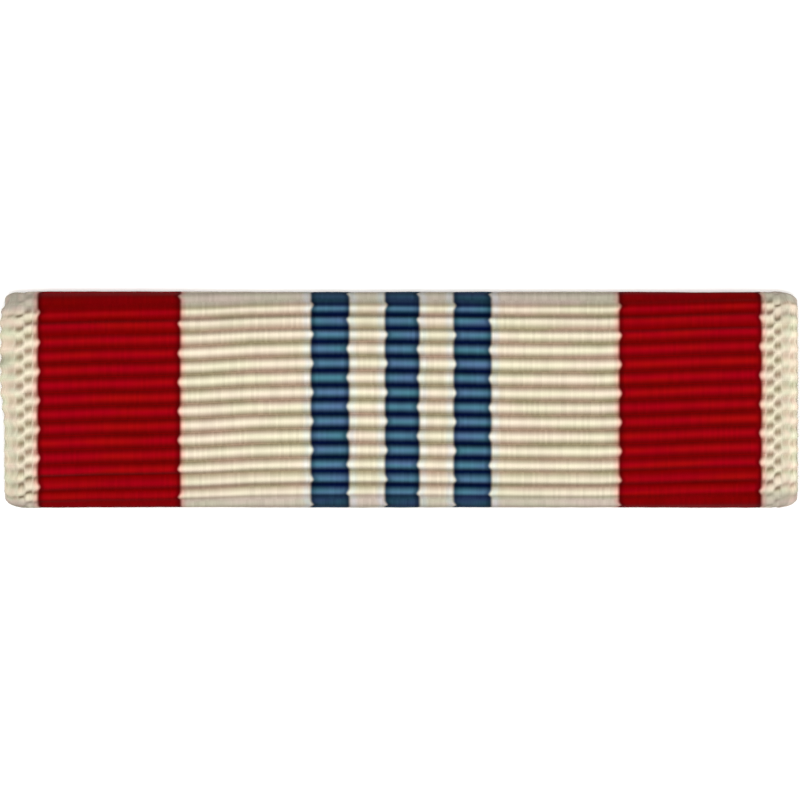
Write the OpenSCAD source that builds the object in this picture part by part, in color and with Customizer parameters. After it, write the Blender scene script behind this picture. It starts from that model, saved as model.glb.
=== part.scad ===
// Ribbon bar: one strip of corded, striped ribbon wound round a flat brass bar, with a
// slide channel on its back. It lies on its back with its face up. X is the length, +Y the
// top edge and +Z the face. The origin is the middle of the plane that it rests on.

/* [Bar] */
// Overall length, which is the width of the ribbon
bar_l = 34.9; // [24:0.1:60]
// Overall height, across the two folds of the ribbon
bar_h = 9.48; // [9.2:0.02:14]

/* [Ribbon] */
// Thickness of the cloth over the crowns of its ribs
ribbon_t = 1; // [0.8:0.05:1.3]
// Distance from one rib to the next
rib_pitch = 0.635; // [0.5:0.005:0.9]
// Height of a rib's crown over the valleys beside it
rib_relief = 0.19; // [0.1:0.01:0.22]
// Thickness of the cloth at the folds, out from the edge of the brass bar
fold_wall = 1.2; // [1:0.05:1.5]
// Angle at which the face slopes down to the folds
shoulder_angle = 22; // [18:1:26]
// How far the face has dropped where its slope meets a fold
shoulder_drop = 0.38; // [0.3:0.02:0.5]
// Radius between the flat of the face and its slope
shoulder_r = 1.8; // [1.2:0.1:2]
// Thickness of the two ends, where the channel presses them on to the bar
tuck_t = 0.5; // [0.4:0.05:0.8]
// Room between the cut edge of each end and the studs
tuck_clear = 0.2; // [0.1:0.05:0.6]
// Radius of the ribbon's corners, seen from the front
corner_r = 0.5; // [0.2:0.05:0.8]

/* [Brass bar] */
// Thickness of the bar
plate_t = 0.4; // [0.3:0.05:0.5]
// How far each end of the bar stops short of the ribbon's selvedge
plate_inset = 0.5; // [0.2:0.05:1.5]
// Radius of the bar's corners
plate_corner_r = 0.6; // [0.3:0.05:1.2]
// Radius of the two studs that hold the channel
stud_r = 0.6; // [0.4:0.05:0.7]
// Width of the ledge round each stud, which keeps the channel off the bar
stud_ledge = 0.4; // [0.2:0.05:0.6]
// Distance between the two studs
stud_span = 20; // [10:0.5:22]

/* [Slide channel] */
// Thickness of the sheet brass
sheet_t = 0.35; // [0.25:0.05:0.45]
// Width of the flat rail that the channel slides on to
rail_w = 6; // [5:0.1:6.4]
// Thickness of that rail
rail_t = 0.8; // [0.6:0.05:1.2]
// How far each end of the channel stops short of the brass bar's end
channel_inset = 0.5; // [0:0.05:1.5]
// How far each lip reaches in over the rail
lip_w = 1.25; // [0.8:0.05:1.8]
// Inside radius of the channel's bends
bend_r = 0.15; // [0.1:0.05:0.3]

/* [Clearances] */
// Gap left between one piece and the next
seat_gap = 0.05; // [0.02:0.01:0.1]
// Room for the rail, at each edge and over its thickness
rail_clear = 0.1; // [0.05:0.05:0.2]

/* [Hidden] */
$fn = 48;

// Colour names, then one row for each woven stripe from left to right
cream = [0.82, 0.76, 0.66];
red = [0.55, 0.02, 0.04];
blue = [0.17, 0.29, 0.39];
brass = [0.80, 0.65, 0.36];
STRIPE_SHARE = 0;
STRIPE_COLOUR = 1;
stripes = [
    // share of the ribbon's width, colour
    [0.0427, cream],
    [0.1789, red],
    [0.1651, cream],
    [0.0476, blue],
    [0.0453, cream],
    [0.0428, blue],
    [0.0441, cream],
    [0.0466, blue],
    [0.1616, cream],
    [0.1783, red],
    [0.0470, cream],
];

// Heights, from the lips of the channel up to the crowns of the face
slot_z = sheet_t;
slot_h = rail_t + rail_clear;
base_z = slot_z + slot_h;
channel_h = base_z + sheet_t;
tuck_z = channel_h + seat_gap;
hollow_z = tuck_z + tuck_t;
plate_z = hollow_z + seat_gap;
hollow_h = plate_t + 2 * seat_gap;
face_z = hollow_z + hollow_h + ribbon_t;
back_z = hollow_z - ribbon_t;
rolled_h = face_z - back_z;

// Widths and lengths of the brass pieces
plate_l = bar_l - 2 * plate_inset;
plate_h = bar_h - 2 * (fold_wall + seat_gap);
channel_l = plate_l - 2 * channel_inset;
slot_w = rail_w + 2 * rail_clear;
channel_w = slot_w + 2 * sheet_t;
lip_opening = rail_w - 2 * lip_w;
ledge_r = stud_r + stud_ledge;
tuck_gap = 2 * (ledge_r + tuck_clear);

// A rib is round, and just wide enough to meet the next one at the depth of the valleys
rib_r = ((rib_pitch / 2) ^ 2 + rib_relief ^ 2) / (2 * rib_relief);

// The outline over the crowns: the face's flat, a shoulder arc, a slope, the fold, the back
fold_r = (rolled_h - shoulder_drop) / (1 + cos(shoulder_angle));
fold_y = bar_h / 2 - fold_r;
fold_z = back_z + fold_r;
slope_foot_y = fold_y + fold_r * sin(shoulder_angle);
flat_y = slope_foot_y - shoulder_drop / tan(shoulder_angle) - shoulder_r * tan(shoulder_angle / 2);
shoulder_z = face_z - shoulder_r;
slope_l = (slope_foot_y - flat_y) / cos(shoulder_angle) - shoulder_r * tan(shoulder_angle);

// Distances along the ribs' centres, from the middle of the face to the end of each stretch
function arc_l(r, angle) = r * angle * PI / 180;
shoulder_end = flat_y + arc_l(shoulder_r - rib_r, shoulder_angle);
slope_end = shoulder_end + slope_l;
fold_end = slope_end + arc_l(fold_r - rib_r, 180 - shoulder_angle);
back_end = fold_end + fold_y - channel_w / 2;

// A point at the angle from +Z round a centre, then the centre of a rib at distance s
function polar(y, z, r, angle) = [y + r * sin(angle), z + r * cos(angle)];
function turn(r, along) = along / r * 180 / PI;
function on_shoulder(s) =
    polar(flat_y, shoulder_z, shoulder_r - rib_r, turn(shoulder_r - rib_r, s - flat_y));
function on_slope(s) =
    on_shoulder(shoulder_end) + (s - shoulder_end) * [cos(shoulder_angle), -sin(shoulder_angle)];
function on_fold(s) =
    polar(fold_y, fold_z, fold_r - rib_r, shoulder_angle + turn(fold_r - rib_r, s - slope_end));
function rib_centre(s) =
    s < flat_y ? [s, face_z - rib_r] :
    s < shoulder_end ? on_shoulder(s) :
    s < slope_end ? on_slope(s) :
    s < fold_end ? on_fold(s) :
    [fold_y - (s - fold_end), back_z + rib_r];

// A profile drawn in the Y-Z plane, stretched along X from x
module along_x(x, length) {
    translate([x, 0, 0]) rotate([90, 0, 90]) linear_extrude(length) children();
}

// A rectangle with round corners, centred on Y, standing on z
module round_rect(w, z, h, r) {
    translate([-w / 2, z + r]) square([w, h - 2 * r]);
    translate([r - w / 2, z]) square([w - 2 * r, h]);
    for (y = [r - w / 2, w / 2 - r], c = [z + r, z + h - r])
        translate([y, c]) circle(r);
}

// The bar's profile, with round long edges; the hollow in the ribbon is the same, grown
module bar_profile(grow) {
    edge_r = plate_t / 2 + grow;
    edge_y = (plate_h - plate_t) / 2;
    translate([-edge_y, plate_z - grow]) square([2 * edge_y, 2 * edge_r]);
    for (y = [-edge_y, edge_y]) translate([y, plate_z + plate_t / 2]) circle(edge_r);
}

// Half of the ribbon's solid part under its ribs, from the middle of the face to the fold
module half_cloth() {
    valley_r = fold_r - rib_relief;
    polygon([
        [0, face_z - rib_relief],
        [flat_y, face_z - rib_relief],
        polar(flat_y, shoulder_z, shoulder_r - rib_relief, shoulder_angle),
        polar(fold_y, fold_z, valley_r, shoulder_angle),
        [fold_y, fold_z],
        [fold_y, back_z + rib_relief],
        [0, back_z + rib_relief],
    ]);
    translate([fold_y, fold_z]) circle(valley_r);
}

// Half of the ribs, evenly spaced along the way that the ribbon is wound
module half_ribs() {
    for (s = [rib_pitch / 2 : rib_pitch : back_end])
        translate(rib_centre(s)) circle(rib_r);
}

// The wound ribbon: hollow for the bar, pressed flat by the channel and cut off short of
// the middle of the back
module ribbon_profile() {
    difference() {
        for (side = [0, 1]) mirror([side, 0]) {
            half_cloth();
            half_ribs();
        }
        bar_profile(seat_gap);
        round_rect(channel_w + 2 * seat_gap, 0, tuck_z, bend_r + sheet_t + seat_gap);
        translate([-tuck_gap / 2, 0]) square([tuck_gap, hollow_z + seat_gap]);
    }
}

// Where a stripe starts, first as a share of the ribbon's width and then along X, where
// every border falls on a whole hundredth of a millimetre
function stripe_start(i) = i == 0 ? 0 : stripe_start(i - 1) + stripes[i - 1][STRIPE_SHARE];
function stripe_x(i) = round(100 * bar_l * (stripe_start(i) - 0.5)) / 100;

module ribbon() {
    intersection() {
        for (i = [0 : len(stripes) - 1])
            color(stripes[i][STRIPE_COLOUR])
                along_x(stripe_x(i), stripe_x(i + 1) - stripe_x(i)) ribbon_profile();
        linear_extrude(face_z) translate([0, -bar_h / 2]) round_rect(bar_l, 0, bar_h, corner_r);
    }
}

module at_studs() {
    for (x = [-stud_span / 2, stud_span / 2]) translate([x, 0, 0]) children();
}

module bar_plate() {
    color(brass) {
        intersection() {
            along_x(-plate_l / 2, plate_l) bar_profile(0);
            linear_extrude(face_z)
                translate([0, -plate_h / 2]) round_rect(plate_l, 0, plate_h, plate_corner_r);
        }
        at_studs() {
            translate([0, 0, channel_h + seat_gap])
                cylinder(r = ledge_r, h = plate_z + plate_t / 2 - channel_h - seat_gap);
            translate([0, 0, base_z + seat_gap])
                cylinder(r = stud_r, h = plate_z + plate_t / 2 - base_z - seat_gap);
        }
    }
}

module slide_channel() {
    lip_end_y = lip_opening / 2 + sheet_t / 2;
    color(brass) difference() {
        along_x(-channel_l / 2, channel_l) {
            difference() {
                round_rect(channel_w, 0, channel_h, bend_r + sheet_t);
                round_rect(slot_w, slot_z, slot_h, bend_r);
                translate([-lip_end_y, -sheet_t]) square([2 * lip_end_y, 2 * sheet_t + bend_r]);
            }
            for (y = [-lip_end_y, lip_end_y]) translate([y, sheet_t / 2]) circle(sheet_t / 2);
        }
        at_studs() translate([0, 0, base_z - sheet_t])
            cylinder(r = stud_r + seat_gap, h = 3 * sheet_t);
    }
}

ribbon();
bar_plate();
slide_channel();
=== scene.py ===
import math

import bpy
import numpy as np
from mathutils import Euler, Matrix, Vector


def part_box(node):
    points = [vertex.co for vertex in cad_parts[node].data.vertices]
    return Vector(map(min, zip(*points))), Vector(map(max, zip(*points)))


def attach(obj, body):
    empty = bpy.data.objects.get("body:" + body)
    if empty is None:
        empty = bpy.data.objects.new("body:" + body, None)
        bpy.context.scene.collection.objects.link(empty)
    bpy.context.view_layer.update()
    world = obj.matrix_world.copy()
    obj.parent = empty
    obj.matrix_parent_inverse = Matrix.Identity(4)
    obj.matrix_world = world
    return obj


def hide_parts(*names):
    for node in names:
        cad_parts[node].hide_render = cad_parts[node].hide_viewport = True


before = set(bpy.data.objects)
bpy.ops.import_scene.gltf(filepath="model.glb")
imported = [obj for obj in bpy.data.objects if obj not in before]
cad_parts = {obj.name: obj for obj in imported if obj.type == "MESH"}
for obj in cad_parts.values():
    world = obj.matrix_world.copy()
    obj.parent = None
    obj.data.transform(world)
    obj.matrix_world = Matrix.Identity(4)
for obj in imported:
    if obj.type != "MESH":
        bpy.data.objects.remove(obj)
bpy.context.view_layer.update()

# Lengths are in millimetres until a mesh is finished. X runs along the bar, +Y is its top
# edge and +Z comes out of the striped face.
mm = 0.001


def boxOf(node):
    low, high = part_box(node)
    return low / mm, high / mm


# A socket that Python's operators work on: every expression adds its own Math nodes
class Wire:
    def __init__(self, graph, socket):
        self.graph = graph
        self.socket = socket

    def out(self, name):
        return Wire(self.graph, self.socket.node.outputs[name])

    def __add__(self, other):
        return self.graph.maths("ADD", self, other)

    def __radd__(self, other):
        return self.graph.maths("ADD", other, self)

    def __sub__(self, other):
        return self.graph.maths("SUBTRACT", self, other)

    def __rsub__(self, other):
        return self.graph.maths("SUBTRACT", other, self)

    def __mul__(self, other):
        return self.graph.maths("MULTIPLY", self, other)

    def __rmul__(self, other):
        return self.graph.maths("MULTIPLY", other, self)

    def __truediv__(self, other):
        return self.graph.maths("DIVIDE", self, other)

    def __pow__(self, other):
        return self.graph.maths("POWER", self, other)

    def __neg__(self):
        return self.graph.maths("MULTIPLY", self, -1.0)

    def __abs__(self):
        return self.graph.maths("ABSOLUTE", self)

    def __lt__(self, other):
        return self.graph.maths("LESS_THAN", self, other)

    def __gt__(self, other):
        return self.graph.maths("GREATER_THAN", self, other)


# One node tree under construction
class Graph:
    def __init__(self, tree):
        self.tree = tree

    # A node by its type, its settings, and the values or wires of its inputs
    def add(self, kind, settings=None, inputs=None, output=0):
        node = self.tree.nodes.new(kind)
        for name, value in (settings or {}).items():
            setattr(node, name, value)
        for key, value in (inputs or {}).items():
            if isinstance(value, Wire):
                self.tree.links.new(value.socket, node.inputs[key])
            else:
                node.inputs[key].default_value = value
        return Wire(self, node.outputs[output]) if len(node.outputs) else node

    def maths(self, operation, *values):
        return self.add("ShaderNodeMath", {"operation": operation}, dict(enumerate(values)))

    def vector(self, operation, *values):
        return self.add("ShaderNodeVectorMath", {"operation": operation}, dict(enumerate(values)))

    def scaled(self, vector, factor):
        return self.add("ShaderNodeVectorMath", {"operation": "SCALE"}, {0: vector, "Scale": factor})

    def join(self, x=0.0, y=0.0, z=0.0):
        return self.add("ShaderNodeCombineXYZ", None, {0: x, 1: y, 2: z})

    def split(self, vector):
        x = self.add("ShaderNodeSeparateXYZ", None, {0: vector})
        return x, x.out("Y"), x.out("Z")

    # From 0 at low to 1 at high, easing at both ends
    def ease(self, value, low, high):
        settings = {"interpolation_type": "SMOOTHSTEP"}
        return self.add("ShaderNodeMapRange", settings, {0: value, 1: low, 2: high, 3: 0.0, 4: 1.0})

    # 1 between two pairs of places, easing in over the first pair and out over the second
    def band(self, value, start, end):
        return self.ease(value, *start) * self.ease(value, *end[::-1])

    # 1 at zero, falling off over the width on both sides
    def bell(self, value, width):
        share = value / width
        return self.maths("EXPONENT", -(share * share))

    # Smooth noise from 0 to 1 with a mean near a half
    def noise(self, vector, seed, scale=1.0, detail=1.0, roughness=0.5):
        inputs = {"Vector": vector, "W": seed, "Scale": scale, "Detail": detail, "Roughness": roughness}
        return self.add("ShaderNodeTexNoise", {"noise_dimensions": "4D"}, inputs)

    # A number from 0 to 1 for each place, with no likeness between neighbours
    def chance(self, vector, seed):
        inputs = {"Vector": vector, "W": seed}
        return self.add("ShaderNodeTexWhiteNoise", {"noise_dimensions": "4D"}, inputs)

    def mix(self, factor, first, second, blend="MIX"):
        first = first if isinstance(first, Wire) else (*first, 1.0)
        second = second if isinstance(second, Wire) else (*second, 1.0)
        settings = {"data_type": "RGBA", "blend_type": blend}
        return self.add("ShaderNodeMix", settings, {0: factor, 6: first, 7: second}, 2)

    # The bent normal over a relief in millimetres
    def bump(self, height):
        return self.add("ShaderNodeBump", None, {"Strength": 1.0, "Distance": mm, "Height": height})


# One value where the factor is 1, and the other where it is 0
def either(factor, one, other):
    return other + (one - other) * factor


# A material with one Principled shader, whose even values are set straight on its sockets
def newMaterial(name, constants):
    material = bpy.data.materials.new(name)
    material.use_nodes = True
    material.node_tree.nodes.clear()
    graph = Graph(material.node_tree)
    shader = graph.add("ShaderNodeBsdfPrincipled", None, constants)
    graph.add("ShaderNodeOutputMaterial", None, {"Surface": shader})
    return material, graph, shader.socket.node


def connect(graph, shader, wires):
    for name, wire in wires.items():
        graph.tree.links.new(wire.socket, shader.inputs[name])


# Camera, floor and light
print("studio: camera, floor and soft light")
studio = {
    "lens": 400.0,  # on a sensor 36 mm wide
    "sensor": 36.0,
    "nearClip": 0.01,  # metres
    "frameWidth": 35.18,  # what the frame spans at the height of the bar's outline
    "outlineZ": 3.1,
    "aim": (-0.054, -0.015),
    "floorSize": 700.0,
    "floorTone": (0.92, 0.915, 0.905),
    "floorRoughness": 0.9,
    "floorSpecular": 0.2,
    "skyStrength": 0.2,
    "keyHeight": 600.0,
    "keyWidth": 120.0,
    "keyTilt": 1.6,  # degrees from straight above, towards the bar's bottom edge
    "keyPower": 4.75,  # watts
}


def link(thing):
    bpy.context.scene.collection.objects.link(thing)
    return thing


def makeCamera():
    data = bpy.data.cameras.new("camera")
    data.lens = studio["lens"]
    data.sensor_width = studio["sensor"]
    data.clip_start = studio["nearClip"]
    camera = link(bpy.data.objects.new("camera", data))
    distance = studio["frameWidth"] * studio["lens"] / studio["sensor"]
    camera.location = Vector((*studio["aim"], studio["outlineZ"] + distance)) * mm
    bpy.context.scene.camera = camera


def makeFloor():
    half = studio["floorSize"] / 2 * mm
    mesh = bpy.data.meshes.new("floor")
    corners = [(-half, -half, 0), (half, -half, 0), (half, half, 0), (-half, half, 0)]
    mesh.from_pydata(corners, [], [(0, 1, 2, 3)])
    constants = {
        "Base Color": (*studio["floorTone"], 1.0),
        "Roughness": studio["floorRoughness"],
        "Specular IOR Level": studio["floorSpecular"],
    }
    mesh.materials.append(newMaterial("floor_paper", constants)[0])
    link(bpy.data.objects.new("floor", mesh))


def makeLight():
    world = bpy.data.worlds.new("sky")
    world.use_nodes = True
    background = world.node_tree.nodes["Background"]
    background.inputs["Color"].default_value = (1.0, 1.0, 1.0, 1.0)
    background.inputs["Strength"].default_value = studio["skyStrength"]
    bpy.context.scene.world = world
    data = bpy.data.lights.new("key", "AREA")
    data.energy = studio["keyPower"]
    data.size = studio["keyWidth"] * mm
    key = link(bpy.data.objects.new("key", data))
    tilt = math.radians(studio["keyTilt"])
    key.location = Vector((0, -math.sin(tilt), math.cos(tilt))) * studio["keyHeight"] * mm
    key.rotation_euler = Euler((tilt, 0, 0))
    bpy.context.scene.view_settings.view_transform = "Standard"


makeCamera()
makeFloor()
makeLight()

# The ribbon. Its cloth is laid out flat first, as rows of points across its width, and
# then wound along a path round the bar, where the ribs are raised on it. Ribs are numbered
# from the middle of the face, up to the top fold and down to the bottom one.
print("ribbon: cloth")
ribbonCloth = {
    "flatSize": (0.0349, 0.016),  # metres
    "seed": 7.0,
    # its way round the bar
    "shoulderAngle": 22.0,  # degrees, the slope of the face beside each fold
    "shoulderDrop": 0.38,
    "shoulderRadius": 1.8,
    "foldTurn": 186.0,  # degrees from straight up, so each fold's arc ends just past its lowest point
    "channelCorner": 0.5,
    "cornerTurn": 80.0,  # degrees, how much of that corner the cloth goes round
    "cornerSoftness": 0.05,
    "seatGap": 0.05,
    "tuckGap": 2.4,  # between the two cut ends, on the back
    "neutralDepth": 0.12,  # where a bend neither stretches nor squeezes the cloth
    # its points
    "pathStep": 0.02,  # spacing of the points that give the way
    "ribRows": 16,  # rows over each rib
    "valleyCrowding": 0.08,  # how they draw together beside the valleys
    "tuckRows": 6,  # rows to a rib's width where the channel presses the cloth
    "innerStep": 0.5,  # spacing on the flat inside
    "innerArcStep": 0.08,  # and round the bar's edges
    "columnStep": 0.225,  # spacing across the face
    "selvedgeStep": 0.06,
    "edgeColumns": 5,
    # the ribs; a pair of rib numbers says where something starts and where it is complete
    "ribPitch": 0.635,
    "ribRelief": 0.24,
    "tuckRelief": 0.04,  # where the channel presses the cloth
    "pressedFrom": (9.9, 11.0),
    "lowFrom": (4.6, 7.6),  # the folds stretch the ribs low
    "lowTo": (7.9, 8.9),
    "lowShare": 0.14,  # of their height is left on the folds
    "backShare": 0.9,  # of it comes back behind them
    "rounderFrom": (3.6, 5.4),  # where the valleys are round too, until the ribs are high again
    "foldSqueeze": (0.05, 0.11),  # how far the ribs close up before the top fold and the bottom one
    "foldSqueezeFrom": (5.8, 7.2),
    "foldRise": 0.035,  # how far the folds stand out past their arc
    "foldRiseFrom": (6.5, 7.5),
    "highLine": 0.3,  # how far a slope moves the highest line of a cord, and with it the painted highlight, in ribs
    "highLineFrom": (4.6, 6.0),
    "mostLean": 0.4,  # past this lean the top fold moves it no further
    "topGain": 2.0,  # how much more it moves on the crowns before the top fold
    "topGainFrom": (5.7, 6.4),
    "driftEnd": 11.0,  # where the drift has faded out
    "driftFade": 3.0,
    # small differences between them
    "wobble": 0.04,  # how far single ribs stray from straight
    "plumpness": 0.04,  # how much they differ in height
    "unevenness": 0.03,  # gentle hills and hollows of the face
    # noise: times a millimetre across, times a rib along, layer, detail, roughness
    "wobbleNoise": (0.22, 0.8, 0.0, 1.0, 0.5),
    "plumpNoise": (1.1, 5.3, 3.0, 2.0, 0.5),
    "hillNoise": (0.35, 0.25, 9.0, 1.0, 0.5),
    # the selvedges
    "selvedgeFrom": (1.6, 1.3),  # how far in from the edge they start and are complete
    "columnSoftness": 0.09,
    "columnSlant": 0.45,  # ribs to a millimetre, by which their cords climb to the right
    "columnRoundness": 0.8,
    "columnBend": 0.6,  # how much narrower the dark between their cords is
    "threadWidth": 0.05,  # of the flat threads between the columns
    "threadDepth": 0.6,  # how much those flatten the cords
    "threadTone": 0.09,  # how much darker the colour is drawn along them
    "spotTone": 0.2,  # painted shade in the small hollows between the cords
    # the outline, seen from the front
    "edgeRound": 0.3,  # radius of the selvedge's edge
    "edgeReach": 1.2,  # how far in from an edge its corners and bumps are felt
    "scallop": 0.08,
    "cornerRadius": 0.5,
    "topLeftRadius": 0.25,
    "leftSwell": 0.2,  # how far the upper part of the left edge stands out
    "leftSwellFrom": (-1.6, 0.9),
    "leftSwellTo": (3.8, 4.2),
}

# The selvedges, as columns of cord from the edge inwards
leftColumns = [
    # width, how many ribs it is out of step, share of the ribs' height, tone; tones above 1 at the edge are
    # painted light where it turns down
    (0.10, 0.5, 0.30, 1.08),
    (0.14, 0.5, 0.50, 0.94),
    (0.31, 0.5, 0.50, 0.83),
    (0.34, 0.5, 1.00, 0.96),
    (0.37, 0.08, 1.00, 1.00),
    (0.26, 0.08, 0.90, 0.97),
]
rightColumns = [
    # width, how many ribs it is out of step, share of the ribs' height, tone; tones above 1 at the edge are
    # painted light where it turns down
    (0.07, 0.25, 0.50, 1.20),
    (0.27, 0.25, 0.70, 1.12),
    (0.38, 0.2, 0.50, 0.90),
    (0.34, 0.5, 1.00, 0.98),
    (0.36, 0.05, 1.00, 1.00),
    (0.25, 0.05, 0.90, 0.97),
]

# Bands of the cloth's map, each above the one before it
mapBands = {
    "rows": (0.01, 0.80, 0.815, 0.91),  # start and end of the outer rows, and of the inner ones
    "seam": 0.925,  # where the last row meets the first
    "rightEnd": 0.935,
    "leftEnd": 0.965,
    "endWidth": 0.02,
    "margin": 0.01,
}

# How far the ribs drift up (+) or down (-) from straight along the bar
ribDrift = [
    # place along X, drift
    (-17.5, -0.36),
    (-15.4, -0.34),
    (-13.2, -0.26),
    (-11.0, -0.225),
    (-8.8, -0.16),
    (-6.6, -0.04),
    (-4.4, 0.01),
    (-1.5, 0.015),
    (2.2, -0.02),
    (5.0, -0.055),
    (8.7, -0.07),
    (10.9, -0.01),
    (13.1, 0.08),
    (15.3, 0.14),
    (17.5, 0.17),
]

ribbonLow, ribbonHigh = boxOf("ribbon")
barHigh = boxOf("bar_plate")[1]
channelHigh = boxOf("slide_channel")[1]
halfLength = ribbonHigh.x
halfHeight = ribbonHigh.y


# Points on an arc in the Y-Z plane, with angles in degrees from +Z towards +Y
def arc(centre, radius, start, end, step):
    count = max(4, math.ceil(math.radians(abs(end - start)) * radius / step))
    angles = np.radians(np.linspace(start, end, count))
    return np.stack([centre[0] + radius * np.sin(angles), centre[1] + radius * np.cos(angles)], 1)


def line(start, end, step):
    count = max(2, math.ceil(math.dist(start, end) / step))
    share = np.linspace(0, 1, count)[:, None]
    return np.array(start) * (1 - share) + np.array(end) * share


def lengthsAlong(points):
    return np.concatenate([[0.0], np.cumsum(np.linalg.norm(np.diff(points, axis=0), axis=1))])


# A half of the loop is mirrored in the X-Z plane and runs the other way
def mirrored(points):
    return points[::-1] * (-1, 1)


# The outline over the crowns of the ribs, from the middle of the face round the fold to the
# cut end on the back. On the shoulder and the fold, the cloth keeps its length on a shorter arc
# inside, so each stretch also says how many millimetres of cloth a millimetre of it holds.
def outerHalf(cloth):
    step = cloth["pathStep"]
    slope = math.radians(cloth["shoulderAngle"])
    face = ribbonHigh.z
    shoulder = cloth["shoulderRadius"]
    fold = (face - ribbonLow.z - cloth["shoulderDrop"]) / (1 + math.cos(slope))
    foldCentre = (halfHeight - fold, ribbonLow.z + fold)
    footY = foldCentre[0] + fold * math.sin(slope)
    flatY = footY - cloth["shoulderDrop"] / math.tan(slope) - shoulder * math.tan(slope / 2)
    corner = cloth["channelCorner"] + cloth["seatGap"]
    tuckZ = channelHigh.z + cloth["seatGap"]
    cornerCentre = (channelHigh.y + cloth["seatGap"] - corner, tuckZ - corner)
    neutral = cloth["neutralDepth"]
    stretches = [
        (line((0, face), (flatY, face), step), 1.0),
        (arc((flatY, face - shoulder), shoulder, 0, cloth["shoulderAngle"], step), 1 - neutral / shoulder),
        (arc(foldCentre, fold, cloth["shoulderAngle"], cloth["foldTurn"], step), 1 - neutral / fold),
        (arc(cornerCentre, corner, cloth["cornerTurn"], 0, step), 1.0),
        (line((cornerCentre[0], tuckZ), (cloth["tuckGap"] / 2, tuckZ), step), 1.0),
    ]
    points = np.concatenate([stretch for stretch, rate in stretches])
    rates = np.concatenate([np.full(len(stretch), rate) for stretch, rate in stretches])
    along = lengthsAlong(points)
    return points, along, np.concatenate([[0.0], np.cumsum(np.diff(along) * rates[1:])])


# The heights of the bar's flat plate, read at its ends, because its studs reach lower
def plateHeights():
    endDepth = 0.01
    corners = np.array([v.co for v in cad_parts["bar_plate"].data.vertices]) / mm
    ends = corners[np.abs(corners[:, 0]) > barHigh.x - endDepth]
    return ends[:, 2].min(), ends[:, 2].max()


# The inside of the cloth, which keeps its gap from the plate, from the cut end to the middle
# of the face. It comes with the numbers of the points that join its stretches.
def innerHalf(cloth):
    bottom, top = plateHeights()
    radius = (top - bottom) / 2 + cloth["seatGap"]
    centre = (barHigh.y + cloth["seatGap"] - radius, (top + bottom) / 2)
    step = cloth["innerStep"]
    stretches = [
        line((cloth["tuckGap"] / 2, centre[1] - radius), (centre[0], centre[1] - radius), step),
        arc(centre, radius, 180, 0, cloth["innerArcStep"])[1:],
        line((centre[0], centre[1] + radius), (0, centre[1] + radius), step)[1:],
    ]
    joints = np.cumsum([len(stretch) for stretch in stretches]) - 1
    return np.concatenate(stretches), [0, *joints]


# The closed loop that the cloth's surface follows, with its corners softened. It comes with
# places along the sharp ring and how far along the soft loop each of them lies.
def softLoop(cloth, ring):
    step = cloth["pathStep"]
    closed = np.concatenate([ring, ring[:1]])
    along = lengthsAlong(closed)
    places = np.arange(0, along[-1], step)
    even = np.stack([np.interp(places, along, closed[:, k]) for k in range(2)], 1)
    width = cloth["cornerSoftness"] / step
    reach = math.ceil(3 * width)
    weights = np.exp(-0.5 * (np.arange(-reach, reach + 1) / width) ** 2)
    padded = np.concatenate([even[-reach:], even, even[:reach]])
    soft = np.stack([np.convolve(padded[:, k], weights / weights.sum(), "valid") for k in range(2)], 1)
    return soft, places, lengthsAlong(soft)


def makePath(loop):
    curve = bpy.data.curves.new("winding_path", "CURVE")
    curve.dimensions = "3D"
    spline = curve.splines.new("POLY")
    spline.points.add(len(loop) - 1)
    spline.use_cyclic_u = True
    coordinates = np.column_stack([np.zeros(len(loop)), loop, np.ones(len(loop))])
    spline.points.foreach_set("co", coordinates.ravel())
    return link(bpy.data.objects.new("winding_path", curve))


# The rows of points round the loop, each with its place on the loop and its rib number,
# which counts ribs from the middle of the face and is whole in a valley
def layRows(cloth):
    outer, along, ribLengths = outerHalf(cloth)
    inner, joints = innerHalf(cloth)
    pitch = cloth["ribPitch"]

    # the ribs go round to the lowest point, and fewer rows lie on the rest of the back
    ribs = math.ceil(ribLengths[np.argmin(outer[:, 1])] / pitch)
    lastRib = ribLengths[-1] / pitch
    share = np.linspace(-0.5, 0.5, cloth["ribRows"] + 1)[:-1]
    share = share + cloth["valleyCrowding"] * np.sin(2 * math.pi * share)
    ribbed = np.concatenate([rib + 0.5 + share for rib in range(-ribs, ribs)])
    tuck = np.linspace(ribs, lastRib, math.ceil((lastRib - ribs) * cloth["tuckRows"]))
    outerNumbers = np.concatenate([-tuck[:0:-1], ribbed, tuck])
    outerPlaces = np.sign(outerNumbers) * np.interp(abs(outerNumbers) * pitch, ribLengths, along)
    outerPlaces = along[-1] + outerPlaces

    # where the inside has a joint, it takes the rib number of the outer point beside it
    innerRing = np.concatenate([inner, mirrored(inner)[1:]])
    innerPlaces = 2 * along[-1] + math.dist(outer[-1], inner[0]) + lengthsAlong(innerRing)
    innerAlong = lengthsAlong(inner)
    beside = [np.linalg.norm(outer - inner[joint], axis=1).argmin() for joint in joints]
    innerNumbers = np.interp(innerAlong, innerAlong[joints], ribLengths[beside] / pitch)
    innerNumbers = np.concatenate([innerNumbers, -innerNumbers[-2::-1]])
    ring = np.concatenate([mirrored(outer), outer[1:], innerRing])
    return ring, (outerPlaces, outerNumbers), (innerPlaces, innerNumbers)


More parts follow.
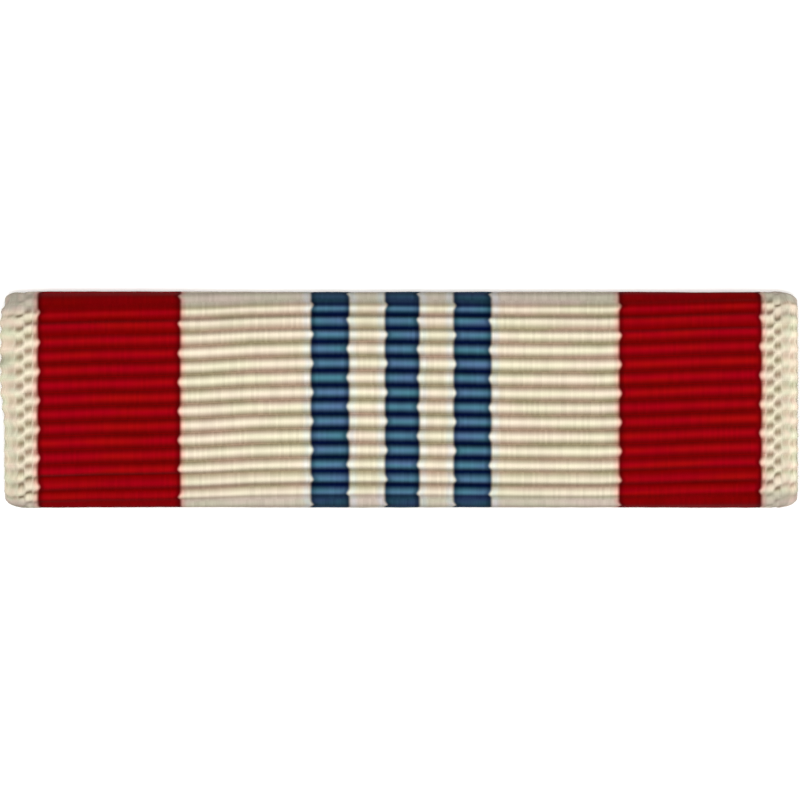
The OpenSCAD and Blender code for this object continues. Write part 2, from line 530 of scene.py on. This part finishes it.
# The columns of points across the cloth, close together in the selvedges, and how far each
# sinks where the cloth's edge turns down through a quarter circle
def layColumns(cloth):
    radius = cloth["edgeRound"]
    angles = np.radians(np.linspace(0, 90, cloth["edgeColumns"] + 1))
    edge = halfLength - radius + radius * np.sin(angles)
    selvedge = halfLength - sum(column[0] for column in rightColumns)
    stepsIn = math.ceil((edge[0] - selvedge) / cloth["selvedgeStep"])
    stepsAcross = math.ceil(2 * selvedge / cloth["columnStep"])
    right = np.concatenate([np.linspace(selvedge, edge[0], stepsIn, endpoint=False), edge])
    middle = np.linspace(-selvedge, selvedge, stepsAcross + 1)[1:-1]
    across = np.concatenate([-right[::-1], middle, right])
    beyond = np.clip(abs(across) - (halfLength - radius), 0, radius)
    return across, radius - np.sqrt(radius ** 2 - beyond ** 2)


# Triangles between the outer and the inner rows of points at one end of the cloth, by each
# row's share of the way. A corner is a pair: 0 for outer or 1 for inner, and which row.
def matchRows(outerShares, innerShares):
    halfway = np.append((innerShares[1:] + innerShares[:-1]) / 2, np.inf)
    i, j, faces = 0, 0, []
    while i < len(outerShares) - 1 or j < len(innerShares) - 1:
        if i < len(outerShares) - 1 and outerShares[i + 1] <= halfway[j]:
            faces.append(((0, i + 1), (0, i), (1, j)))
            i += 1
        else:
            faces.append(((0, i), (1, j), (1, j + 1)))
            j += 1
    return faces


# The triangles of both ends, with their corners on the map. The inner rows run the other way.
def closeEnds(outerNumbers, innerNumbers, columns):
    rows = len(outerNumbers) + len(innerNumbers)
    wholeWay = [outerNumbers[0], outerNumbers[-1]]
    shares = [np.interp(numbers, wholeWay, [0, 1]) for numbers in (outerNumbers, innerNumbers[::-1])]
    margin, width = mapBands["margin"], mapBands["endWidth"]
    faces, uvs = [], []
    for column, base in ((columns - 1, mapBands["rightEnd"]), (0, mapBands["leftEnd"])):
        for corners in matchRows(*shares):
            face = [(k if side == 0 else rows - 1 - k) * columns + column for side, k in corners]
            uv = [(margin + (1 - 2 * margin) * shares[side][k], base + width * side) for side, k in corners]
            faces.append(face if column else face[::-1])
            uvs.extend(uv if column else uv[::-1])
    return faces, uvs


# The quads between the rows, which close into a loop, with their corners on the map
def joinRows(across, sinks, places, turns):
    rows, columns = len(places), len(across)
    row, column = np.meshgrid(np.arange(rows), np.arange(columns - 1), indexing="ij")
    after = (row + 1) % rows
    quads = np.stack([row, row, after, after], -1) * columns
    quads = quads + np.stack([column, column + 1, column + 1, column], -1)
    u = lengthsAlong(np.stack([across, sinks], 1))
    u = mapBands["margin"] + (1 - 2 * mapBands["margin"]) * u / u[-1]
    v = np.interp(places, turns, mapBands["rows"])
    vAfter = np.append(v[1:], mapBands["seam"])
    quadU = np.stack([u[column], u[column + 1], u[column + 1], u[column]], -1)
    quadV = np.stack([v[row], v[row], vAfter[row], vAfter[row]], -1)
    return quads.reshape(-1, 4), np.stack([quadU, quadV], -1).reshape(-1, 2)


# The cloth as a flat closed sheet, with a map of its own and what the winding needs to know
def layFlatCloth(cloth):
    ring, (outerPlaces, outerNumbers), (innerPlaces, innerNumbers) = layRows(cloth)
    loop, sharpPlaces, softPlaces = softLoop(cloth, ring)
    across, sinks = layColumns(cloth)
    places = np.concatenate([outerPlaces, innerPlaces])
    numbers = np.concatenate([outerNumbers, innerNumbers])
    outside = np.repeat([1.0, 0.0], [len(outerPlaces), len(innerPlaces)])
    hold = outside * np.clip((cloth["driftEnd"] - abs(numbers)) / cloth["driftFade"], 0, 1)
    drift = hold[:, None] * np.interp(across, *zip(*ribDrift))
    onLoop = np.interp(places[:, None] + drift, sharpPlaces, softPlaces)
    points = np.zeros((*onLoop.shape, 3))
    points[..., 0] = across
    points[..., 1] = onLoop
    turns = [0, outerPlaces[-1], innerPlaces[0], innerPlaces[-1]]
    quads, quadUvs = joinRows(across, sinks, places, turns)
    ends, endUvs = closeEnds(outerNumbers, innerNumbers, len(across))

    mesh = bpy.data.meshes.new("ribbon_wound")
    mesh.from_pydata(points.reshape(-1, 3).tolist(), [], quads.tolist() + ends)
    uvs = np.concatenate([quadUvs, endUvs])
    mesh.uv_layers.new(name="OFBake").data.foreach_set("uv", uvs.ravel())
    mesh.polygons.foreach_set("use_smooth", np.arange(len(mesh.polygons)) < len(quads))
    values = {
        "across": across[None, :],
        "place": onLoop,
        "ribNumber": numbers[:, None],
        "outside": outside[:, None],
        "sink": outside[:, None] * sinks,
    }
    for name, value in values.items():
        spread = np.broadcast_to(value, onLoop.shape).astype(np.float32)
        mesh.attributes.new(name, "FLOAT", "POINT").data.foreach_set("value", spread.ravel())
    return link(bpy.data.objects.new("ribbon_wound", mesh)), makePath(loop)


# A Geometry Nodes modifier. Its tree comes from a function of the graph and its inputs.
def addModifier(piece, name, inputs, fill):
    tree = bpy.data.node_groups.new(name, "GeometryNodeTree")
    tree.interface.new_socket("Geometry", in_out="INPUT", socket_type="NodeSocketGeometry")
    tree.interface.new_socket("Geometry", in_out="OUTPUT", socket_type="NodeSocketGeometry")
    identifiers = {}
    for label, (kind, value) in inputs.items():
        socket = tree.interface.new_socket(label, in_out="INPUT", socket_type=kind)
        identifiers[socket.identifier] = value
    graph = Graph(tree)
    entry = graph.add("NodeGroupInput")
    graph.add("NodeGroupOutput", None, {0: fill(graph, entry.out)})
    modifier = piece.modifiers.new(name, "NODES")
    modifier.node_group = tree
    for identifier, value in identifiers.items():
        modifier[identifier] = value


# The mesh that the modifiers give becomes the piece's own plain mesh
def settle(piece):
    depsgraph = bpy.context.evaluated_depsgraph_get()
    evaluated = piece.evaluated_get(depsgraph)
    mesh = bpy.data.meshes.new_from_object(evaluated, preserve_all_data_layers=True, depsgraph=depsgraph)
    piece.modifiers.clear()
    piece.data = mesh
    mesh.name = piece.name


def stored(graph, name):
    return graph.add("GeometryNodeInputNamedAttribute", {"data_type": "FLOAT"}, {"Name": name})


# The height of the cords at a rib number: 0 in a sharp valley and 1 on a round crown
def cordHeight(graph, number):
    return abs(graph.maths("SINE", number * math.pi))


# Noise over the cloth, by the five numbers of its setting
def clothNoise(graph, across, along, setting, seed):
    timesAcross, timesAlong, layer, detail, roughness = setting
    place = graph.join(across * timesAcross, along * timesAlong, layer)
    return graph.noise(place, seed, detail=detail, roughness=roughness)


# Where each point lies on the path round the bar, and which way is out of the cloth there.
# Single ribs stray a little, and all of them close up before the folds.
def placeOnPath(graph, entry, cloth, across, number, free):
    stray = clothNoise(graph, across, number, cloth["wobbleNoise"], entry("Seed")) - 0.5
    isTop = number > 0.0
    squeeze = either(isTop, *cloth["foldSqueeze"]) * graph.ease(abs(number), *cloth["foldSqueezeFrom"])
    squeeze = squeeze * (1.0 - 2.0 * isTop)
    onPath = stored(graph, "place") + free * (stray * entry("Wobble") + squeeze)
    path = graph.add("GeometryNodeObjectInfo", None, {"Object": entry("Path")}, "Geometry")
    inputs = {"Curves": path, "Length": onPath}
    sample = graph.add("GeometryNodeSampleCurve", {"mode": "LENGTH"}, inputs, "Position")
    outwards = graph.vector("CROSS_PRODUCT", (1.0, 0.0, 0.0), sample.out("Tangent"))
    return sample, graph.vector("NORMALIZE", outwards)


# The cords: the height of each point on its own cord, the light and shade painted into its colour, the
# share of the ribs' height there, its tone with painted shade, and whether it is in a selvedge
def layCords(graph, cloth, across, number, lean, outside):
    crown = cordHeight(graph, number)

    # where the cloth slopes, a cord's highest line is nearer to the middle than its crown, and the painted
    # highlight follows that line
    shift = graph.maths("MINIMUM", lean, cloth["mostLean"]) * cloth["highLine"]
    shift = shift * graph.ease(abs(number), *cloth["highLineFrom"])
    topGain = graph.ease(number, *cloth["topGainFrom"]) * cloth["topGain"]
    shift = shift * (1.0 + crown * crown * topGain)
    high = cordHeight(graph, number + shift)

    soft = cloth["columnSoftness"]
    share, tone, threads = 1.0, 1.0, 0.0
    for side, columns in ((-1, leftColumns), (1, rightColumns)):
        fromEdge = halfLength - across * side
        reach = sum(column[0] for column in columns)
        for width, lag, columnShare, columnToneAndLight in reversed(columns):
            within = graph.ease(fromEdge, reach + soft, reach - soft)
            middle = side * (halfLength - reach + width / 2)
            lagged = number + lag - (across - middle) * cloth["columnSlant"]
            crown = either(within, cordHeight(graph, lagged), crown)
            high = either(within, cordHeight(graph, lagged + shift), high)
            share = either(within, columnShare, share)
            tone = either(within, columnToneAndLight, tone)
            threads = threads + graph.bell(fromEdge - reach, cloth["threadWidth"])
            reach = reach - width
    share = share * (1.0 - threads * cloth["threadDepth"])

    inSelvedge = graph.ease(halfLength - abs(across), *cloth["selvedgeFrom"])
    # painted shade, deepest in the valleys and the selvedges' hollows; what is left of it is the painted
    # light
    dark = (1.0 - high * high) ** (1.0 + inSelvedge * cloth["columnBend"]) * share * outside
    hollow = dark * inSelvedge
    # painted shade in the hollows between the selvedge's cords
    tone = tone * (1.0 - hollow * hollow * cloth["spotTone"] - threads * cloth["threadTone"])
    return crown, 1.0 - dark, share, tone, inSelvedge


def windCloth(graph, entry):
    cloth = ribbonCloth
    seed = entry("Seed")
    across, number, outside = (stored(graph, name) for name in ("across", "ribNumber", "outside"))
    free = outside * graph.ease(abs(number), *cloth["pressedFrom"][::-1])
    sample, normal = placeOnPath(graph, entry, cloth, across, number, free)
    lean = graph.split(normal)[1]
    crown, light, share, tone, inSelvedge = layCords(graph, cloth, across, number, lean, outside)

    # the height of the ribs, and how the cloth swells under them
    highAgain = graph.ease(abs(number), *cloth["lowTo"])
    height = graph.ease(abs(number), *cloth["lowFrom"][::-1])
    height = graph.maths("MAXIMUM", height, highAgain * cloth["backShare"])
    relief = entry("Rib relief") * either(height, 1.0, cloth["lowShare"])
    relief = either(free, relief, entry("Tuck relief"))
    rounder = graph.ease(abs(number), *cloth["rounderFrom"]) * (1.0 - highAgain)
    rounder = graph.maths("MAXIMUM", rounder, inSelvedge * cloth["columnRoundness"])
    crown = crown * (1.0 - (1.0 - crown) * rounder)
    plump = clothNoise(graph, across, graph.maths("FLOOR", number), cloth["plumpNoise"], seed) - 0.5
    hills = clothNoise(graph, across, number, cloth["hillNoise"], seed) - 0.5
    swelling = crown * plump * entry("Plumpness") + hills * entry("Unevenness")
    swelling = swelling + graph.ease(abs(number), *cloth["foldRiseFrom"]) * entry("Fold rise")
    drop = outside * (1.0 - crown) * relief * share + free * (stored(graph, "sink") - swelling)
    _, y, z = graph.split(graph.vector("SUBTRACT", sample, graph.scaled(normal, drop)))

    # seen from the front: round corners, bumpy side edges and a swollen stretch on the left
    isLeft = across < 0.0
    radius = either(isLeft * (y > 0.0), cloth["topLeftRadius"], cloth["cornerRadius"])
    over = graph.maths("MAXIMUM", abs(y) - (halfHeight - radius), 0.0)
    corner = radius - graph.maths("SQRT", graph.maths("MAXIMUM", radius * radius - over * over, 0.0))
    swell = graph.band(y, cloth["leftSwellFrom"], cloth["leftSwellTo"]) * isLeft * free
    inwards = corner + (1.0 - crown) * free * entry("Scallop") - swell * entry("Left swell")
    edgeShare = graph.ease(halfLength - abs(across), cloth["edgeReach"], 0.0)
    x = across - graph.maths("SIGN", across) * inwards * edgeShare

    inputs = {"Geometry": entry("Geometry"), "Position": graph.scaled(graph.join(x, y, z), mm)}
    wound = graph.add("GeometryNodeSetPosition", None, inputs)
    # the painted light and shade are stored for the material
    for name, value in (("crown", crown), ("light", light), ("tone", tone)):
        settings = {"data_type": "FLOAT", "domain": "POINT"}
        inputs = {"Geometry": wound, "Name": name, "Value": value}
        wound = graph.add("GeometryNodeStoreNamedAttribute", settings, inputs)
    wound = graph.add("GeometryNodeRealizeInstances", None, {0: wound})
    return graph.add("GeometryNodeSetMaterial", None, {"Geometry": wound, "Material": entry("Material")})


# The ribbon's finish
print("ribbon: dyes, stripes and threads")
clothLook = {
    "specular": 0.0,
    "sheen": 0.015,
    "sheenRoughness": 0.5,
    "roughness": (0.62, 0.80),  # on a crown, in a valley
    "seed": 3.0,
    # threads, and how unevenly the cloth is dyed
    "thread": 0.12,  # width of a warp thread
    "threadBump": 0.008,
    "fibreBump": 0.005,
    "threadTone": 0.10,  # how much threads differ in tone
    "threadLight": 0.04,  # and in how they catch the light
    "streakTone": 0.16,
    "streakRoughness": 0.1,
    "patchTone": 0.12,  # how much patches of the cloth, and whole ribs, differ in tone
    "hueSpread": (0.35, 0.65),  # the part of the noise in which one hue turns into the other
    # noise: times a millimetre across, times a rib along, layer, detail, roughness
    "streakNoise": (0.9, 9.0, 0.0, 3.0, 0.65),
    "patchNoise": (0.30, 0.35, 5.0, 2.0, 0.5),
    "ribNoise": (0.08, 3.7, 8.0, 1.0, 0.5),
    "hueNoise": (0.3, 1.1, 12.0, 2.0, 0.5),
    "mottleNoise": (2.6, 1.6, 17.0, 2.0, 0.5),
    "mottleHueNoise": (1.6, 1.3, 31.0, 2.0, 0.5),
    "fibreNoise": (6.0, 22.0, 0.0, 2.0, 0.5),
    # the borders of the dark stripes
    "redFrom": (6.0, 7.0),  # how far out from the middle the stripes are red and no longer blue
    "zigzag": 0.055,  # how far a border jumps aside on each crown, left and right by turns
    "borderReach": 0.05,  # how much further a dark stripe reaches in a valley than on a crown
    "borderSoftness": 0.09,
    "borderPaintedShade": 0.45,  # painted shade: how much a dark stripe darkens in the groove beside its border
    "borderShadeInset": 0.1,
    "borderShadeWidth": 0.13,
    # the paler threads in the cream, beside a red stripe and beside a blue one
    "paleInset": (0.03, 0.18),
    "paleWidth": (0.15, 0.16),
    # the folds, by rib numbers, with painted light and shade; values for the top fold and the bottom one
    "foldFrom": (6.35, 6.95),
    "foldTo": (8.0, 8.9),
    "foldLight": (0.47, 0.40),  # painted light, between valley and crown
    # painted shade, darker on the top fold than on the bottom one
    "foldTone": (0.77, 0.91),
    "foldRibs": 0.15,  # how much the ribs still show there
    # the slopes beside them, with painted shade: the valleys' shade is painted wider and all the cloth a
    # little darker
    "slopeFrom": (4.4, 6.0),
    "slopeTo": (7.0, 8.0),
    "slopeBend": 0.25,
    "slopeTone": 0.08,
    # patches on the selvedges
    "mottleFrom": (0.9, 0.5),  # how far in from the edge they start and are complete
    "mottleTone": 0.3,
    # a dull spot on the left edge: its place along X and its rib, and its reach by both
    "wornSpot": (-17.45, 3.2),
    "wornReach": (0.35, 0.4),
    "wornTone": 0.45,
}

# Dyes in linear colour, lit and shaded by paint. Each has two shades: a lit one painted on a rib's crown
# and a shade painted into the valley beside it. It also says how slowly it brightens from valley to crown,
# on the face and on a fold.
litAndShadedDyes = {
    "cream": {
        "crown": ((0.66, 0.57, 0.45), (0.63, 0.59, 0.43)),
        "valley": ((0.31, 0.215, 0.155), (0.25, 0.212, 0.125)),
        "bend": (0.8, 0.8),
    },
    "red": {
        "crown": ((0.25, 0.0004, 0.005), (0.26, 0.002, 0.0025)),
        "valley": ((0.15, 0.0001, 0.0006), (0.13, 0.0003, 0.0002)),
        "bend": (0.8, 1.7),
    },
    "blue": {
        "crown": ((0.049, 0.152, 0.198), (0.068, 0.127, 0.234)),
        "valley": ((0.00002, 0.0045, 0.022), (0.00005, 0.003, 0.030)),
        "bend": (1.2, 1.6),
    },
}
# What the paler threads multiply the cream by, beside a red stripe and beside a blue one
paleTints = ((1.08, 0.74, 0.77), (0.98, 1.10, 1.30))
# What the patches of a selvedge multiply it by
mottleTints = ((1.06, 0.97, 0.98), (0.95, 1.02, 1.00))
# What a fold multiplies it by
foldTint = (1.0, 1.02, 1.12)

# Woven stripes from left to right, as shares of the ribbon's width
stripes = [
    # share, dye
    (0.0421, "cream"),
    (0.1799, "red"),
    (0.1646, "cream"),
    (0.0475, "blue"),
    (0.0458, "cream"),
    (0.0426, "blue"),
    (0.0439, "cream"),
    (0.0467, "blue"),
    (0.1613, "cream"),
    (0.1794, "red"),
    (0.0462, "cream"),
]


def attribute(graph, name):
    return graph.add("ShaderNodeAttribute", {"attribute_name": name}, None, "Fac")


# How far inside a dark stripe a point is: the borders jump sideways on each crown
def insideStripes(graph, look, across, crest, parity):
    shifted = across - (1.0 - 2.0 * parity) * look["zigzag"] * crest
    inside = -2 * halfLength
    start = -halfLength
    for share, dye in stripes:
        width = share * 2 * halfLength
        if dye != "cream":
            depth = width / 2 - abs(shifted - (start + width / 2))
            inside = graph.maths("MAXIMUM", inside, depth)
        start = start + width
    return inside + (0.5 - crest) * look["borderReach"]


def makeClothMaterial(look):
    constants = {
        "Specular IOR Level": look["specular"],
        "Sheen Weight": look["sheen"],
        "Sheen Roughness": look["sheenRoughness"],
    }
    material, graph, shader = newMaterial("corded_silk", constants)
    names = ("across", "ribNumber", "crown", "light", "tone")
    across, number, crown, light, tone = (attribute(graph, name) for name in names)
    rib = graph.maths("FLOOR", number)
    parity = graph.maths("FLOORED_MODULO", rib, 2.0)
    seed = look["seed"]

    # where the point is: on a dark stripe, a red one, a fold, a slope or a selvedge
    inside = insideStripes(graph, look, across, crown * crown, parity)
    isDark = graph.ease(inside, -look["borderSoftness"], look["borderSoftness"])
    isRed = graph.ease(abs(across), *look["redFrom"])
    isTop = number > 0.0
    onFold = graph.band(abs(number), look["foldFrom"], look["foldTo"])
    onSlope = graph.band(abs(number), look["slopeFrom"], look["slopeTo"]) * (1.0 - onFold)
    inSelvedge = graph.ease(halfLength - abs(across), *look["mottleFrom"])

    # threads run along the wound way, half a thread out of step on every second rib
    threadPlace = across / look["thread"] + parity * 0.5
    thread = graph.maths("FLOOR", threadPlace)
    offCentre = graph.maths("FRACT", threadPlace) * 2.0 - 1.0
    threadTone = graph.chance(graph.join(thread, rib), seed) - 0.5
    streak = clothNoise(graph, across, number, look["streakNoise"], seed) - 0.5

    # painted light and shade: colour from the valley's painted shade to the crown's lit shade
    # on a fold the painted light is held nearly flat
    foldLight = either(isTop, *look["foldLight"]) + (light - 0.5) * look["foldRibs"]
    light = either(onFold, foldLight, light)
    light = graph.maths("MAXIMUM", light + threadTone * look["threadLight"], 0.0)
    hue = graph.ease(clothNoise(graph, across, number, look["hueNoise"], seed), *look["hueSpread"])
    dyedLitAndShaded = {}
    for dye, shades in litAndShadedDyes.items():
        bend, foldBend = shades["bend"]
        bent = light ** (bend + onSlope * look["slopeBend"] + onFold * (foldBend - bend))
        dyedLitAndShaded[dye] = graph.mix(bent, graph.mix(hue, *shades["valley"]), graph.mix(hue, *shades["crown"]))

    # the cream beside a stripe, in a selvedge and on a fold
    pale = graph.bell(inside + either(isRed, *look["paleInset"]), either(isRed, *look["paleWidth"]))
    cream = graph.mix(pale, dyedLitAndShaded["cream"], graph.mix(isRed, *paleTints[::-1]), "MULTIPLY")
    mottleHue = clothNoise(graph, across, number, look["mottleHueNoise"], seed)
    mottled = graph.mix(graph.ease(mottleHue, *look["hueSpread"]), *mottleTints)
    cream = graph.mix(inSelvedge, cream, mottled, "MULTIPLY")
    cream = graph.mix(onFold, cream, foldTint, "MULTIPLY")
    colour = graph.mix(isDark, cream, graph.mix(isRed, dyedLitAndShaded["blue"], dyedLitAndShaded["red"]))

    # tone over all the dyes, with painted shade beside the borders, on the slopes and on the folds
    # painted shade in the groove just inside a dark stripe's border
    nearBorder = graph.bell(inside - look["borderShadeInset"], look["borderShadeWidth"])
    worn = graph.bell(across - look["wornSpot"][0], look["wornReach"][0])
    worn = worn * graph.bell(number - look["wornSpot"][1], look["wornReach"][1])
    patch = clothNoise(graph, across, number, look["patchNoise"], seed) - 0.5
    ribTone = clothNoise(graph, across, rib, look["ribNoise"], seed) - 0.5
    mottle = clothNoise(graph, across, number, look["mottleNoise"], seed) - 0.5
    tone = tone * (1.0 - nearBorder * isDark * look["borderPaintedShade"]) * (1.0 - worn * look["wornTone"])
    # painted shade on the slopes, which turn away from the light
    tone = tone * (1.0 - onSlope * look["slopeTone"])
    # painted shade on the folds, where the cloth turns away from the light
    tone = tone * either(onFold, either(isTop, *look["foldTone"]), 1.0)
    tone = tone * (1.0 + mottle * inSelvedge * look["mottleTone"])
    uneven = threadTone * look["threadTone"] + streak * look["streakTone"]
    tone = tone * (1.0 + uneven + (patch + ribTone) * look["patchTone"])
    colour = graph.mix(1.0, colour, graph.join(tone, tone, tone), "MULTIPLY")

    fibres = clothNoise(graph, across, number, look["fibreNoise"], seed)
    relief = (1.0 - offCentre * offCentre) * look["threadBump"] + fibres * look["fibreBump"]
    roughness = either(crown, *look["roughness"]) + streak * look["streakRoughness"]
    connect(graph, shader, {"Base Color": colour, "Roughness": roughness, "Normal": graph.bump(relief)})
    return material


def windRibbon():
    ribbon, path = layFlatCloth(ribbonCloth)
    inputs = {
        "Path": ("NodeSocketObject", path),
        "Rib relief": ("NodeSocketFloat", ribbonCloth["ribRelief"]),
        "Tuck relief": ("NodeSocketFloat", ribbonCloth["tuckRelief"]),
        "Wobble": ("NodeSocketFloat", ribbonCloth["wobble"]),
        "Plumpness": ("NodeSocketFloat", ribbonCloth["plumpness"]),
        "Unevenness": ("NodeSocketFloat", ribbonCloth["unevenness"]),
        "Fold rise": ("NodeSocketFloat", ribbonCloth["foldRise"]),
        "Scallop": ("NodeSocketFloat", ribbonCloth["scallop"]),
        "Left swell": ("NodeSocketFloat", ribbonCloth["leftSwell"]),
        "Seed": ("NodeSocketFloat", ribbonCloth["seed"]),
        "Material": ("NodeSocketMaterial", makeClothMaterial(clothLook)),
    }
    addModifier(ribbon, "wind_cloth", inputs, windCloth)
    settle(ribbon)
    bpy.data.objects.remove(path)
    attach(ribbon, "root")
    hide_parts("ribbon")


windRibbon()

# The brass bar and its channel
print("brass: bar and slide channel")
brassLook = {
    "bright": (0.72, 0.50, 0.215),
    "dull": (0.42, 0.265, 0.105),
    "roughness": (0.26, 0.52),  # bright, dull
    "brushRoughness": 0.18,
    # how often fine lines and scratches change to a millimetre, along the bar and across it
    "brushing": (0.5, 26.0),
    "scratches": (0.12, 7.0),
    # tarnish grows in patches, which specks and the brushing break up
    "patchScale": 0.45,
    "speckScale": 3.0,
    "speckShare": 0.35,
    "brushShare": 0.15,
    "tarnishFrom": (0.38, 0.72),
    "brushBump": 0.0015,
    "scratchBump": 0.003,
    "dentBump": 0.006,
}


def makeBrass(name, seed, look):
    material, graph, shader = newMaterial(name, {"Metallic": 1.0})
    place = graph.scaled(graph.add("ShaderNodeTexCoord", None, None, "Object"), 1 / mm)
    x, y, z = graph.split(place)
    along, across = look["brushing"]
    brushing = graph.join(x * along, y * across, z * across)
    brushing = graph.noise(brushing, seed, detail=3.0, roughness=0.7)
    along, across = look["scratches"]
    scratches = graph.noise(graph.join(x * along, y * across, z * across), seed, detail=2.0)
    patches = graph.noise(place, seed, scale=look["patchScale"], detail=4.0, roughness=0.6)
    specks = graph.noise(place, seed, scale=look["speckScale"], detail=3.0, roughness=0.7)
    uneven = (specks - 0.5) * look["speckShare"] + (brushing - 0.5) * look["brushShare"]
    tarnish = graph.ease(patches + uneven, *look["tarnishFrom"])
    colour = graph.mix(tarnish, look["bright"], look["dull"])
    roughness = either(tarnish, *look["roughness"][::-1]) + (brushing - 0.5) * look["brushRoughness"]
    relief = brushing * look["brushBump"] + scratches * look["scratchBump"] + patches * look["dentBump"]
    connect(graph, shader, {"Base Color": colour, "Roughness": roughness, "Normal": graph.bump(relief)})
    return material


def finishBrass(node, seed):
    material = makeBrass(node + "_brass", seed, brassLook)
    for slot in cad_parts[node].material_slots:
        slot.material = material


finishBrass("bar_plate", 11.0)
finishBrass("slide_channel", 23.0)
